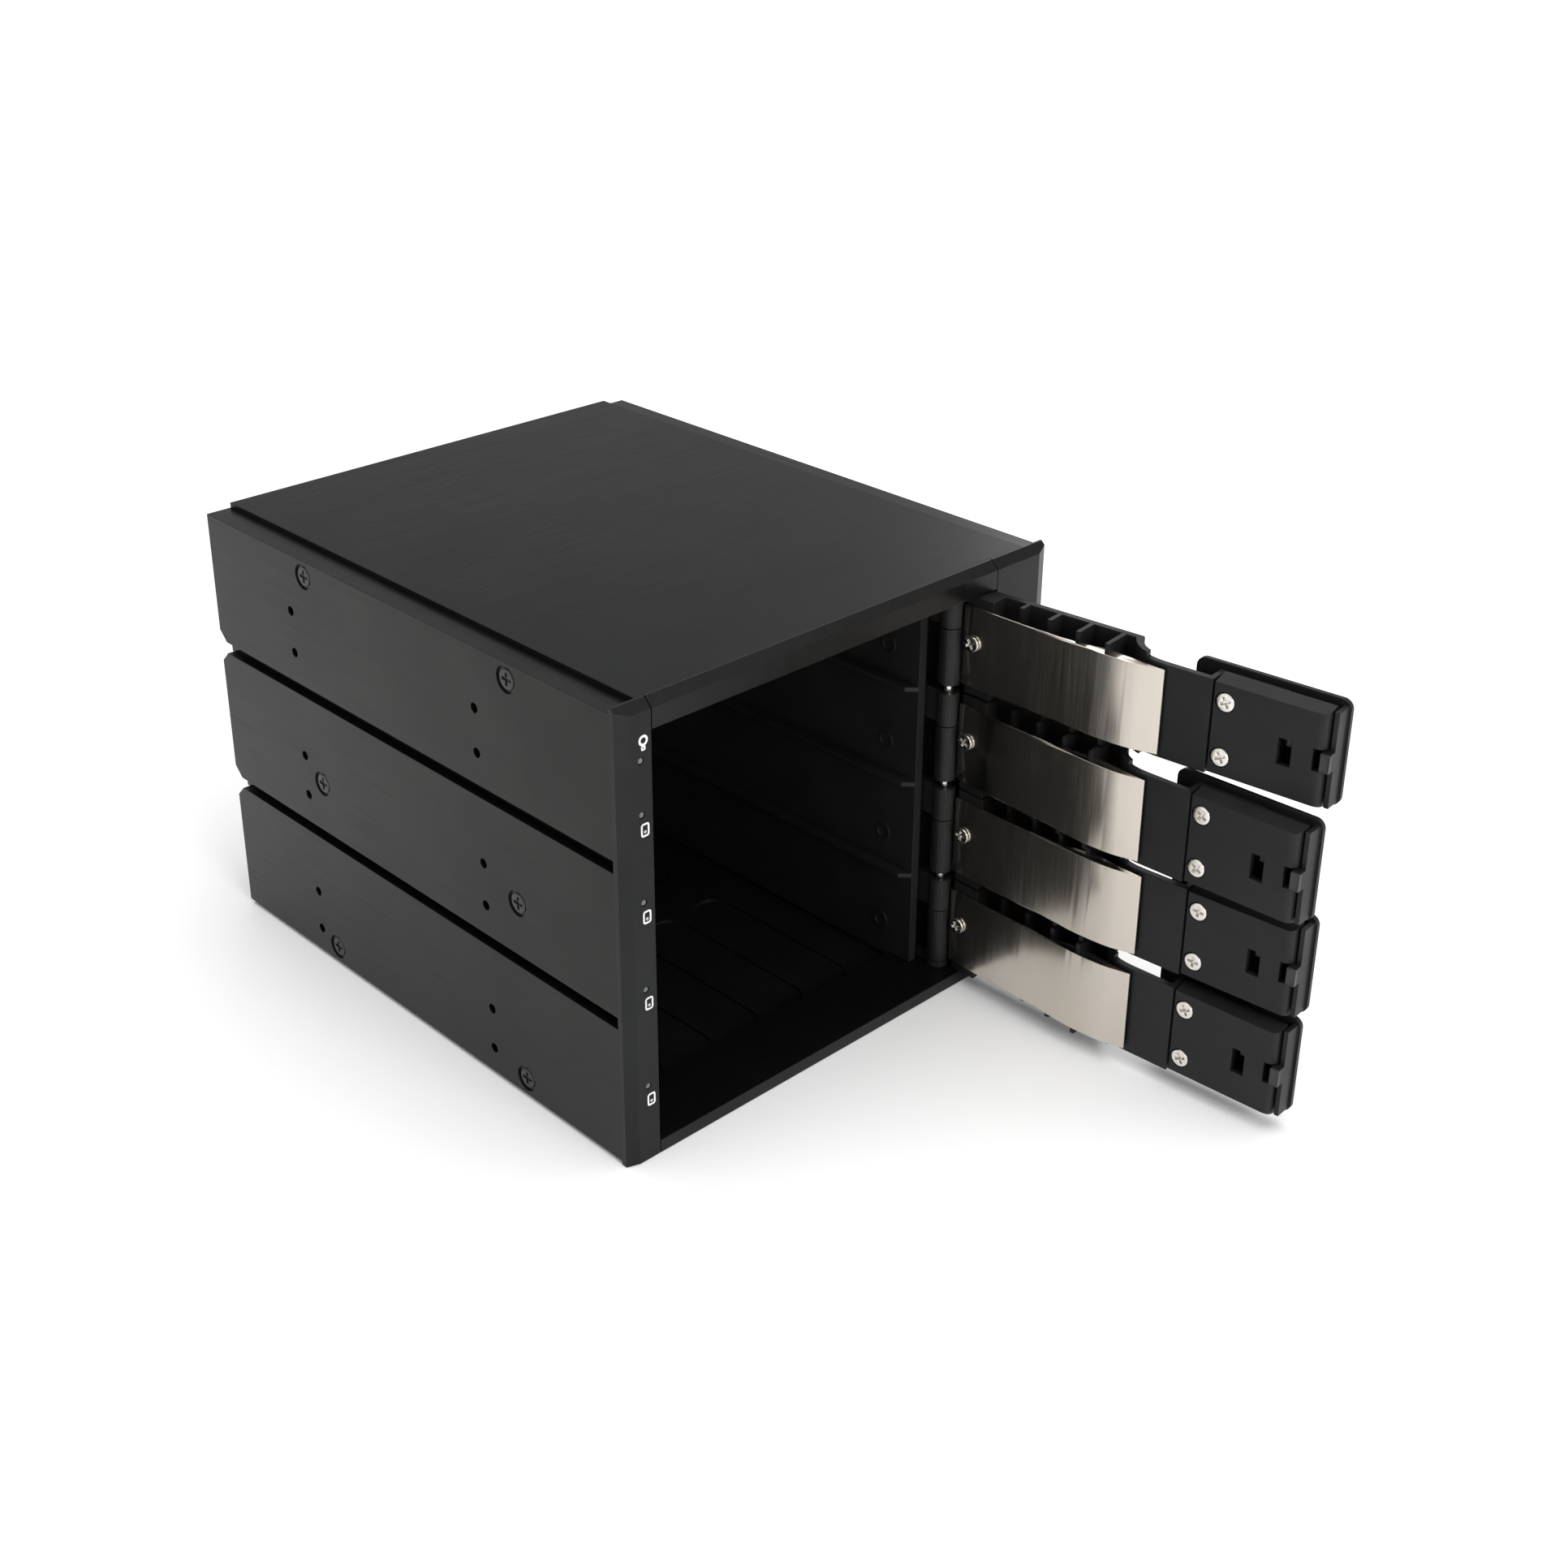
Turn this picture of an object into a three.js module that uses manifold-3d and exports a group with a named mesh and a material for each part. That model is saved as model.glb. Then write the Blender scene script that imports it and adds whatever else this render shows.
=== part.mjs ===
// A trayless hot-swap drive cage: four 3.5 inch bays in the space of three 5.25 inch bays.
// Millimetres, +Z up, front towards -Y, origin at the middle of the underside.
import * as THREE from "three";
import { mergeVertices } from "three/addons/utils/BufferGeometryUtils.js";
import Module from "manifold-3d";

const wasm = await Module();
wasm.setup();

// Cage
const cageDepth = 168;
const coverTop = 122.6;
const coverThickness = 1.4;
const floorThickness = 1.2;
const panelSkin = 1.2;
const flangeWidth = 13;
const coverInset = 7.3;
const railSlotDrops = [82, 39.9];
const railSlotWidth = 3.3;
const railSlotDepth = 3.1;
const railSlotLeadIn = 3;
const sideHolePitchY = 79.25;
const sideHoleFrontY = -34;
const sideHoleDrop = 17.6;
const sideHolePitchZ = 42.3;
const sideHoleStep = 11.9;
const sideHoleDiameter = 2.7;
const sideScrewMiddleZ = 57;
const sideScrewEndInset = 5.8;
const sideScrewFrontY = -47;
const sideScrewPitchY = 84.7;
const sideScrewRecess = 7;
const sideScrewRecessDepth = 0.5;
const recessCount = 5;
const recessPitch = 16.7;
const recessWidth = 12.2;
const recessMargin = 19;
const recessMiddleBar = 16;
const recessDepth = 0.7;

// Front frame
const bezelDepth = 2.8;
const bezelBevel = 2.2;
const cornerChamferX = 3.3;
const cornerChamferY = 1.2;
const leftPostWidth = 9.7;
const rightPostWidth = 19.6;
const postReturn = 1.7;
const topBarHeight = 7.4;
const bottomBarHeight = 3.5;
const frameSeam = 0.3;
const sillDepth = 17.3;
const lightWindowDiameter = 1.8;
const lightWindowOffset = 3.2;
const lightHeightShares = [0.884, 0.773, 0.587, 0.395, 0.173];
const lightGuideMargin = 3;
const lightBoardMargin = 5;

// Drive bays
const bayCount = 4;
const driveWidth = 101.6;
const hingeWallGap = 6.2;
const wallThickness = 2.6;
const wallFrontSetback = 10;
const ledgeDepth = 2.6;
const ledgeThickness = 1.2;
const boardThickness = 1.6;
const boardSetback = 8;
const connectorLength = 7;
const driveSocket = { offsetX: -12, drop: 7, halfWidth: 21, halfHeight: 3, wallX: 1.5, wallZ: 1.2 };
const powerTongue = [-18, 3.5];
const dataTongue = [6, 17];
const tongueHalf = 0.6;
const rearSocketLength = 9;
const rearSocketBack = 2;
const dataSocket = { inset: 21, halfWidth: 7, halfHeight: 3.2, wall: 1.2 };
const powerSocket = { inset: 35, halfWidth: 4.5, halfHeight: 11, wall: 1 };
const powerPins = { count: 4, pitch: 5.08, radius: 1 };
const powerSocketInset = 26.3;
const socketClearance = 0.5;
const fit = 0.3;

// Doors
const openDoorGap = 1.7;
const hingeSetback = 7.2;
const openAngles = [96.3, 92.3, 94.5, 93.4];
const doorGap = 0.6;
const barrelRadius = 3;
const pinRadius = 1.2;
const knuckleHeight = 9.3;
const footKnuckleHeight = 1.6;
const doorSkin = 1.7;
const skinToPocket = 22.2;
const pocketLead = 1.9;
const tabLength = 18.1;
const tabOuter = 5.1;
const tabInner = 3.9;
const ribStart = 19.5;
const ribEndGap = 4.45;
const ribCount = 4;
const ribThickness = 1.2;
const neckInner = -1.2;
const neckOuter = 0.5;
const neckRelief = 2.725;
const plateRelief = 5.125;
const plateThickness = 0.6;
const plateStart = 3.8;
const plateRise = 0.6;
const plateSlope = 0.0956;
const plateScrewReach = 6.7;
const plateScrewRise = 1.1;
const latchLength = 28.8;
const latchTipGap = 3.2;
const latchWindow = [8, 11.5];
const latchCavity = [2.2, 12.3];
const latchNotch = 2.7;
const latchInner = -0.9;
const latchOuter = 3.7;
const latchScrewInset = 2.9;
const latchScrewEdge = 5.1;
const leverLength = 39.9;
const leverTipGap = 0.9;
const leverPlate = 1.2;
const leverPivotInset = 8.4;
const leverPivotOut = 3.1;
const tipWallInset = 0.6;
const tipWallThickness = 1.2;
const hookLength = 2.3;
const hookHalfHeight = 2.4;

// Fan
const fanSize = 80;
const fanDepth = 20;
const fanBore = 76;
const fanHoleSpacing = 71.5;
const fanScrewHoleRadius = 2.2;
const fanMotorRadius = 16;
const fanStrut = 3;
const fanStrutCount = 4;
const bladeCount = 7;
const bladeTurn = 0.6;
const grilleRings = 4;

// Values that follow from the sizes above. The width comes to 146, as a 5.25 inch bay takes.
const hingeInset = hingeSetback + openDoorGap;
const hingeRoom = hingeInset + hingeWallGap;
const cageWidth = leftPostWidth + driveWidth + hingeRoom + rightPostWidth;
const halfWidth = cageWidth / 2;
const frontY = -cageDepth / 2;
const rearY = cageDepth / 2;
const faceY = frontY - bezelDepth;
const panelTop = coverTop - coverThickness;
const coverHalfWidth = halfWidth - coverInset;
const openingLeft = -halfWidth + leftPostWidth;
const openingRight = halfWidth - rightPostWidth;
const openingTop = coverTop - topBarHeight;
const bayPitch = (openingTop - bottomBarHeight) / bayCount;
const doorHeight = bayPitch - doorGap;
const railSlotCentres = railSlotDrops.map((drop) => coverTop - drop);
const sideHoleTopZ = coverTop - sideHoleDrop;
const sideScrewRows = [sideScrewEndInset, sideScrewMiddleZ, coverTop - sideScrewEndInset];
const powerRows = [coverTop - powerSocketInset, powerSocketInset];
const hingeX = openingRight - hingeInset;
const doorReach = hingeX - openingLeft;
const latchEnd = doorReach - latchTipGap;
const latchStart = latchEnd - latchLength;
const leverEnd = doorReach - leverTipGap;
const leverStart = leverEnd - leverLength;
const leverPivot = [leverEnd - leverPivotInset, leverPivotOut];
const latchScrewReach = latchStart + latchScrewInset;
const pocketStart = latchStart - pocketLead;
const skinEnd = pocketStart - skinToPocket;
const neckHeight = doorHeight - neckRelief;
const plateHeight = doorHeight - plateRelief;
const latchScrewSpread = neckHeight - 2 * latchScrewEdge;
const ribPitch = (skinEnd - ribStart - ribEndGap) / (ribCount - 1);
const hingeY = faceY + hingeSetback;
const wallFrontY = faceY + wallFrontSetback + fit;
const rightWallX = openingLeft + driveWidth + fit;
const boardFrontY = rearY - boardSetback;
const bayMiddleX = openingLeft + driveWidth / 2;
const fanCentre = [bayMiddleX, coverTop / 2];
const drawnSegments = 24;

const metal = { color: 0x26282a, roughness: 0.42, metalness: 0.75 };
const bezelMetal = { color: 0x2a2c2e, roughness: 0.38, metalness: 0.7 };
const plastic = { color: 0x202124, roughness: 0.55, metalness: 0 };
const doorPlastic = { color: 0x2d2d31, roughness: 0.5, metalness: 0 };
const stainless = { color: 0xb9b3aa, roughness: 0.3, metalness: 1 };
const silver = { color: 0xd8d5ce, roughness: 0.25, metalness: 1 };
const board = { color: 0x14321f, roughness: 0.6, metalness: 0 };
const clearPlastic = { color: 0x5b6166, roughness: 0.2, metalness: 0 };
const darkSocket = { color: 0x0d0d0e, roughness: 0.5, metalness: 0 };

// Turns a closed three.js geometry into a solid for boolean work.
function solid(geometry) {
  const plain = geometry.index ? geometry.toNonIndexed() : geometry.clone();
  plain.deleteAttribute("normal");
  plain.deleteAttribute("uv");
  const merged = mergeVertices(plain, 1e-4);
  return new wasm.Manifold(
    new wasm.Mesh({
      numProp: 3,
      vertProperties: merged.attributes.position.array,
      triVerts: new Uint32Array(merged.index.array),
    }),
  );
}

// Turns a solid back into a geometry that a mesh can show.
function shownGeometry(made) {
  const mesh = made.getMesh();
  const geometry = new THREE.BufferGeometry();
  geometry.setAttribute("position", new THREE.BufferAttribute(new Float32Array(mesh.vertProperties), 3));
  geometry.setIndex(new THREE.BufferAttribute(new Uint32Array(mesh.triVerts), 1));
  const flat = geometry.toNonIndexed();
  flat.computeVertexNormals();
  return flat;
}

function block(x0, x1, y0, y1, z0, z1) {
  const geometry = new THREE.BoxGeometry(x1 - x0, y1 - y0, z1 - z0);
  geometry.translate((x0 + x1) / 2, (y0 + y1) / 2, (z0 + z1) / 2);
  return solid(geometry);
}

function outline(points) {
  return new THREE.Shape(points.map(([x, y]) => new THREE.Vector2(x, y)));
}

// A plan outline in X and Y raised from z0 to z1.
function raised(shape, z0, z1) {
  const geometry = new THREE.ExtrudeGeometry(shape, { depth: z1 - z0, bevelEnabled: false, curveSegments: 8 });
  geometry.translate(0, 0, z0);
  return solid(geometry);
}

// A profile in X and Z carried along Y from y0 to y1.
function carried(shape, y0, y1) {
  const geometry = new THREE.ExtrudeGeometry(shape, { depth: y1 - y0, bevelEnabled: false, curveSegments: 8 });
  geometry.rotateX(Math.PI / 2);
  geometry.translate(0, y1, 0);
  return solid(geometry);
}

// A profile in Y and Z carried along X from x0 to x1.
function spanned(shape, x0, x1) {
  const geometry = new THREE.ExtrudeGeometry(shape, { depth: x1 - x0, bevelEnabled: false, curveSegments: 8 });
  geometry.rotateY(Math.PI / 2);
  geometry.rotateX(Math.PI / 2);
  geometry.translate(x0, 0, 0);
  return solid(geometry);
}

function rod(axis, radius, length, middle, segments = drawnSegments) {
  const geometry = new THREE.CylinderGeometry(radius, radius, length, segments);
  if (axis === "x") {
    geometry.rotateZ(Math.PI / 2);
  }
  if (axis === "z") {
    geometry.rotateX(Math.PI / 2);
  }
  geometry.translate(...middle);
  return solid(geometry);
}

function joined(pieces) {
  return pieces.reduce((whole, piece) => whole.add(piece));
}

function without(base, tools) {
  return base.subtract(joined(tools));
}

function addPart(group, name, made, finish) {
  const mesh = new THREE.Mesh(shownGeometry(made), new THREE.MeshStandardMaterial(finish));
  mesh.name = name;
  group.add(mesh);
  return mesh;
}

// One folded side panel, drawn for the right-hand side: two rail channels run the full depth.
function sidePanelProfile() {
  const outer = halfWidth;
  const inner = halfWidth - panelSkin;
  const flangeEnd = halfWidth - flangeWidth;
  const channelFloor = outer - railSlotDepth;
  const channelBack = channelFloor - panelSkin;
  const points = [[flangeEnd, floorThickness], [outer, floorThickness]];
  for (const centre of railSlotCentres) {
    const low = centre - railSlotWidth / 2;
    const high = centre + railSlotWidth / 2;
    points.push([outer, low], [channelFloor, low], [channelFloor, high], [outer, high]);
  }
  points.push([outer, panelTop], [flangeEnd, panelTop]);
  points.push([flangeEnd, panelTop - panelSkin], [inner, panelTop - panelSkin]);
  for (const centre of [...railSlotCentres].reverse()) {
    const low = centre - railSlotWidth / 2 - panelSkin;
    const high = centre + railSlotWidth / 2 + panelSkin;
    points.push([inner, high], [channelBack, high], [channelBack, low], [inner, low]);
  }
  points.push([inner, floorThickness + panelSkin], [flangeEnd, floorThickness + panelSkin]);
  return outline(points);
}

function sideHoleRows() {
  const rows = [];
  for (let tier = 0; tier < railSlotCentres.length + 1; tier += 1) {
    rows.push(sideHoleTopZ - tier * sideHolePitchZ);
    rows.push(sideHoleTopZ - tier * sideHolePitchZ - sideHoleStep);
  }
  return rows;
}

function sidePanel() {
  const panel = carried(sidePanelProfile(), frontY, rearY);
  const cuts = [];
  for (const z of sideHoleRows()) {
    for (const y of [sideHoleFrontY, sideHoleFrontY + sideHolePitchY]) {
      cuts.push(rod("x", sideHoleDiameter / 2, 4 * panelSkin, [halfWidth, y, z], 16));
    }
  }
  for (const z of sideScrewRows) {
    for (const y of [sideScrewFrontY, sideScrewFrontY + sideScrewPitchY]) {
      cuts.push(rod("x", sideScrewRecess / 2, 2 * sideScrewRecessDepth, [halfWidth, y, z]));
    }
  }
  for (const z of railSlotCentres) {
    const half = railSlotWidth / 2;
    const mouth = outline([
      [rearY - railSlotLeadIn, z - half],
      [rearY + 1, z - half - railSlotLeadIn - 1],
      [rearY + 1, z + half + railSlotLeadIn + 1],
      [rearY - railSlotLeadIn, z + half],
    ]);
    cuts.push(spanned(mouth, halfWidth - railSlotDepth, halfWidth + 1));
  }
  return without(panel, cuts);
}

function topPlate() {
  return block(-coverHalfWidth, coverHalfWidth, frontY, rearY, panelTop, coverTop);
}

// A blind recess with round ends, pressed into the floor along Y.
function floorRecess(x, y0, y1) {
  const radius = recessWidth / 2;
  const shape = new THREE.Shape();
  shape.moveTo(x - radius, y0 + radius);
  shape.absarc(x, y0 + radius, radius, Math.PI, 2 * Math.PI, false);
  shape.lineTo(x + radius, y1 - radius);
  shape.absarc(x, y1 - radius, radius, 0, Math.PI, false);
  return raised(shape, floorThickness - recessDepth, floorThickness + 1);
}

function bottomPlate() {
  const plate = block(-coverHalfWidth, coverHalfWidth, frontY, rearY, 0, floorThickness);
  const recesses = [];
  for (let column = 0; column < recessCount; column += 1) {
    const x = bayMiddleX + (column - (recessCount - 1) / 2) * recessPitch;
    recesses.push(floorRecess(x, frontY + recessMargin, -recessMiddleBar / 2));
    recesses.push(floorRecess(x, recessMiddleBar / 2, rearY - recessMargin));
  }
  return without(plate, recesses);
}

// The bevelled section that the posts and the top bar share, as a span along X.
function bezelSection(x0, x1) {
  const section = outline([
    [faceY, 0],
    [wallFrontY - fit, 0],
    [wallFrontY - fit, coverTop],
    [faceY + bezelBevel, coverTop],
    [faceY, coverTop - bezelBevel],
  ]);
  return spanned(section, x0, x1);
}

function lightRows() {
  return lightHeightShares.map((share) => share * coverTop);
}

function lightWindowX() {
  return openingLeft - lightWindowOffset;
}

// The room that the covers and the panels' flanges take out of a front post, between x0 and x1.
function coverRoom(x0, x1) {
  return [
    block(x0, x1, frontY, rearY, panelTop - panelSkin - fit, coverTop + 1),
    block(x0, x1, frontY, rearY, -1, floorThickness + panelSkin + fit),
  ];
}

function bezelPostLeft() {
  const plan = outline([
    [-halfWidth, frontY],
    [-halfWidth, faceY + cornerChamferY],
    [-halfWidth + cornerChamferX, faceY],
    [openingLeft, faceY],
    [openingLeft, wallFrontY - fit],
    [openingLeft - postReturn, wallFrontY - fit],
    [openingLeft - postReturn, frontY],
  ]);
  const post = raised(plan, 0, coverTop).intersect(bezelSection(-cageWidth, cageWidth));
  const windows = lightRows().map((z) =>
    rod("y", lightWindowDiameter / 2, 2 * bezelDepth + 2, [lightWindowX(), faceY, z], 16),
  );
  return without(post, [...coverRoom(-coverHalfWidth - fit, openingLeft + 1), ...windows]);
}

function bezelPostRight() {
  const plan = outline([
    [halfWidth, frontY],
    [openingRight + postReturn, frontY],
    [openingRight + postReturn, wallFrontY - fit],
    [openingRight, wallFrontY - fit],
    [openingRight, faceY],
    [halfWidth - cornerChamferX, faceY],
    [halfWidth, faceY + cornerChamferY],
  ]);
  const post = raised(plan, 0, coverTop).intersect(bezelSection(-cageWidth, cageWidth));
  return without(post, coverRoom(openingRight - 1, coverHalfWidth + fit));
}

function bezelBarTop() {
  const section = outline([
    [faceY, openingTop],
    [frontY, openingTop],
    [frontY, coverTop],
    [faceY + bezelBevel, coverTop],
    [faceY, coverTop - bezelBevel],
  ]);
  return spanned(section, openingLeft + frameSeam, openingRight - frameSeam);
}

function bezelBarBottom() {
  const section = outline([
    [faceY, 0],
    [frontY, 0],
    [frontY, floorThickness],
    [frontY + sillDepth, floorThickness],
    [frontY + sillDepth, bottomBarHeight],
    [faceY, bottomBarHeight],
  ]);
  const bar = spanned(section, openingLeft + frameSeam, openingRight - frameSeam);
  const flangeRoom = block(-halfWidth, -halfWidth + flangeWidth + fit, frontY, rearY, 0, bottomBarHeight + 1);
  return bar.subtract(flangeRoom);
}

// A guide wall with a ledge at each bay boundary. reach is +1 when the ledges point towards +X.
function guideWall(faceX, reach, frontEdge) {
  const sill = frontY + sillDepth + fit;
  const back = boardFrontY - connectorLength;
  const side = outline([
    [frontEdge, bottomBarHeight + fit],
    [sill, bottomBarHeight + fit],
    [sill, floorThickness + panelSkin + fit],
    [back, floorThickness + panelSkin + fit],
    [back, panelTop - panelSkin - fit],
    [frontEdge, panelTop - panelSkin - fit],
  ]);
  const far = faceX - reach * wallThickness;
  const pieces = [spanned(side, Math.min(faceX, far), Math.max(faceX, far))];
  for (let boundary = 1; boundary < bayCount; boundary += 1) {
    const z = openingTop - boundary * bayPitch;
    const tip = faceX + reach * ledgeDepth;
    const ledge = outline([
      [far, frontEdge],
      [faceX, frontEdge],
      [tip, frontEdge + ledgeDepth],
      [tip, back],
      [far, back],
    ]);
    pieces.push(raised(ledge, z - ledgeThickness / 2, z + ledgeThickness / 2));
  }
  return joined(pieces);
}

function bayTop(bay) {
  return openingTop - bay * bayPitch;
}

// The fixed half of the hinges: a back strip with a knuckle at the head of each bay and one at the foot.
function hingeColumn() {
  const stripFront = hingeY + hingeSetback + barrelRadius / 2;
  const stripBack = stripFront + 2 * panelSkin;
  const low = bottomBarHeight + fit;
  const high = openingTop - fit;
  const left = rightWallX + wallThickness + fit;
  const pieces = [block(left, openingRight - fit, stripFront, stripBack, low, high)];
  const spans = [];
  for (let bay = 0; bay < bayCount; bay += 1) {
    spans.push([bayTop(bay) - fit - knuckleHeight, bayTop(bay) - fit]);
  }
  spans.push([low, low + footKnuckleHeight]);
  for (const [z0, z1] of spans) {
    pieces.push(rod("z", barrelRadius, z1 - z0, [hingeX, hingeY, (z0 + z1) / 2]));
    pieces.push(block(hingeX - barrelRadius / 2, hingeX + barrelRadius / 2, hingeY, stripBack, z0, z1));
  }
  const pinBore = rod("z", pinRadius + fit, 2 * coverTop, [hingeX, hingeY, 0], 16);
  return without(joined(pieces), [pinBore]);
}

function hingePin() {
  const low = bottomBarHeight + fit;
  const high = openingTop - fit;
  return rod("z", pinRadius, high - low, [hingeX, hingeY, (low + high) / 2], 16);
}

function backplaneBoard() {
  const margin = 4 * panelSkin;
  const right = halfWidth - railSlotDepth - margin;
  const back = boardFrontY + boardThickness;
  return block(openingLeft, right, boardFrontY, back, floorThickness + margin, panelTop - margin);
}

function bayMiddle(bay) {
  return bayTop(bay) - bayPitch / 2;
}

// The drive-side connector: a body with an L-shaped contact tongue for power and one for data.
function driveConnector(bay) {
  const z = bayMiddle(bay) - driveSocket.drop;
  const x = bayMiddleX + driveSocket.offsetX;
  const front = boardFrontY - connectorLength;
  const cavityX = driveSocket.halfWidth - driveSocket.wallX;
  const cavityZ = driveSocket.halfHeight - driveSocket.wallZ;
  const body = block(x - driveSocket.halfWidth, x + driveSocket.halfWidth, front, boardFrontY,
    z - driveSocket.halfHeight, z + driveSocket.halfHeight);
  const cavityBack = boardFrontY - rearSocketBack;
  const cavity = block(x - cavityX, x + cavityX, front - 1, cavityBack, z - cavityZ, z + cavityZ);
  const tongues = [powerTongue, dataTongue].map(([from, to]) =>
    block(x + from, x + to, front + 1, boardFrontY - 1, z - tongueHalf, z + tongueHalf),
  );
  return joined([body.subtract(cavity), ...tongues]);
}

// The rear data sockets stand in a column beside the fan.
function dataConnector(bay) {
  const z = bayMiddle(bay);
  const x = halfWidth - dataSocket.inset;
  const back = boardFrontY + boardThickness;
  const body = block(x - dataSocket.halfWidth, x + dataSocket.halfWidth, back, back + rearSocketLength,
    z - dataSocket.halfHeight, z + dataSocket.halfHeight);
  const cavityX = dataSocket.halfWidth - dataSocket.wall;
  const cavityZ = dataSocket.halfHeight - dataSocket.wall;
  const cavity = block(x - cavityX, x + cavityX, back + rearSocketBack, back + rearSocketLength + 1,
    z - cavityZ, z + cavityZ);
  const tongue = block(x - cavityX + 1, x + cavityX - 1, back + 1, back + connectorLength,
    z - tongueHalf, z + tongueHalf);
  return body.subtract(cavity).add(tongue);
}

// A four-pin power socket on the rear of the backplane.
function powerConnector(z) {
  const x = halfWidth - powerSocket.inset;
  const back = boardFrontY + boardThickness;
  const body = block(x - powerSocket.halfWidth, x + powerSocket.halfWidth, back, back + rearSocketLength,
    z - powerSocket.halfHeight, z + powerSocket.halfHeight);
  const cavityX = powerSocket.halfWidth - powerSocket.wall;
  const cavityZ = powerSocket.halfHeight - powerSocket.wall;
  const cavity = block(x - cavityX, x + cavityX, back + rearSocketBack, back + rearSocketLength + 1,
    z - cavityZ, z + cavityZ);
  const pinLength = connectorLength - 1;
  const pins = [];
  for (let pin = 0; pin < powerPins.count; pin += 1) {
    const centre = z + (pin - (powerPins.count - 1) / 2) * powerPins.pitch;
    pins.push(rod("y", powerPins.radius, pinLength, [x, back + 1 + pinLength / 2, centre], 12));
  }
  return joined([body.subtract(cavity), ...pins]);
}

// An opening in the rear plate, a little wider than the socket that shows through it.
function socketWindow(socket, z) {
  const x = halfWidth - socket.inset;
  const reachX = socket.halfWidth + socketClearance;
  const reachZ = socket.halfHeight + socketClearance;
  return block(x - reachX, x + reachX, rearY - 2 * panelSkin, rearY + panelSkin, z - reachZ, z + reachZ);
}

function rearPlate() {
  const left = -halfWidth + panelSkin + railSlotDepth + fit;
  const right = -left;
  const plate = block(left, right, rearY - panelSkin, rearY,
    floorThickness + panelSkin + fit, panelTop - panelSkin - fit);
  const cuts = [rod("y", fanBore / 2, 4, [fanCentre[0], rearY, fanCentre[1]], 48)];
  for (let bay = 0; bay < bayCount; bay += 1) {
    cuts.push(socketWindow(dataSocket, bayMiddle(bay)));
  }
  for (const z of powerRows) {
    cuts.push(socketWindow(powerSocket, z));
  }
  return without(plate, cuts);
}

// The through bore that the frame is cut by, and that its motor mount fills up to.
function fanBoreRod() {
  const [x, z] = fanCentre;
  return rod("y", fanBore / 2, fanDepth + 2, [x, rearY + fanDepth / 2, z], 48);
}

function fanFrame() {
  const half = fanSize / 2;
  const [x, z] = fanCentre;
  const body = block(x - half, x + half, rearY, rearY + fanDepth, z - half, z + half);
  const holes = [];
  for (const sx of [-1, 1]) {
    for (const sz of [-1, 1]) {
      const place = [x + (sx * fanHoleSpacing) / 2, rearY + fanDepth / 2, z + (sz * fanHoleSpacing) / 2];
      holes.push(rod("y", fanScrewHoleRadius, fanDepth + 2, place, 16));
    }
  }
  return without(body, [fanBoreRod(), ...holes]);
}

// The plate behind the motor and the four struts that carry it.
function fanMotorMount() {
  const [x, z] = fanCentre;
  const middleY = rearY + fanDepth - fanStrut / 2;
  const strutStart = fanMotorRadius / 2;
  const strutLength = fanSize / 2 - strutStart;
  const pieces = [rod("y", fanMotorRadius, fanStrut, [x, middleY, z], 32)];
  for (let strut = 0; strut < fanStrutCount; strut += 1) {
    const bar = new THREE.BoxGeometry(strutLength, fanStrut, fanStrut);
    bar.translate(strutStart + strutLength / 2, 0, 0);
    bar.rotateY(Math.PI / 4 + (strut * 2 * Math.PI) / fanStrutCount);
    bar.translate(x, middleY, z);
    pieces.push(solid(bar));
  }
  return joined(pieces).intersect(fanBoreRod());
}

function fanRotor() {
  const [x, z] = fanCentre;
  const y0 = rearY + 2;
  const y1 = rearY + fanDepth - fanStrut - 2 * fit;
  const hub = rod("y", fanMotorRadius + 1, y1 - y0, [x, (y0 + y1) / 2, z], 32);
  const blades = [];
  for (let blade = 0; blade < bladeCount; blade += 1) {
    const bar = new THREE.BoxGeometry(22, 1.2, 22);
    bar.rotateX(bladeTurn);
    bar.translate(25.4, 0, 0);
    bar.rotateY((blade * 2 * Math.PI) / bladeCount);
    bar.translate(x, (y0 + y1) / 2, z);
    blades.push(solid(bar));
  }
  const sweep = rod("y", fanBore / 2 - 1, y1 - y0, [x, (y0 + y1) / 2, z], 48);
  return joined([hub, ...blades]).intersect(sweep);
}

// A closed wire ring lying across Y.
function wireRing(radius, wire, middle) {
  const ring = new THREE.TorusGeometry(radius, wire, 6, 28);
  ring.rotateX(Math.PI / 2);
  ring.translate(...middle);
  return solid(ring);
}

function fanGrille() {
  const [x, z] = fanCentre;
  const wire = 0.8;
  const y = rearY + fanDepth + wire + fit;
  const pieces = [];
  for (let ring = 1; ring <= grilleRings; ring += 1) {
    pieces.push(wireRing((ring * (fanBore / 2 - 1)) / grilleRings, wire, [x, y, z]));
  }
  for (const angle of [Math.PI / 4, -Math.PI / 4]) {
    const spoke = new THREE.CylinderGeometry(wire, wire, fanHoleSpacing * Math.SQRT2, 8);
    spoke.rotateX(Math.PI / 2);
    spoke.rotateY(angle);
    spoke.translate(x, y, z);
    pieces.push(solid(spoke));
  }
  for (const sx of [-1, 1]) {
    for (const sz of [-1, 1]) {
      const eye = [x + (sx * fanHoleSpacing) / 2, y, z + (sz * fanHoleSpacing) / 2];
      pieces.push(rod("y", 3.6, 2 * wire, eye, 20));
    }
  }
  return joined(pieces);
}

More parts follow.
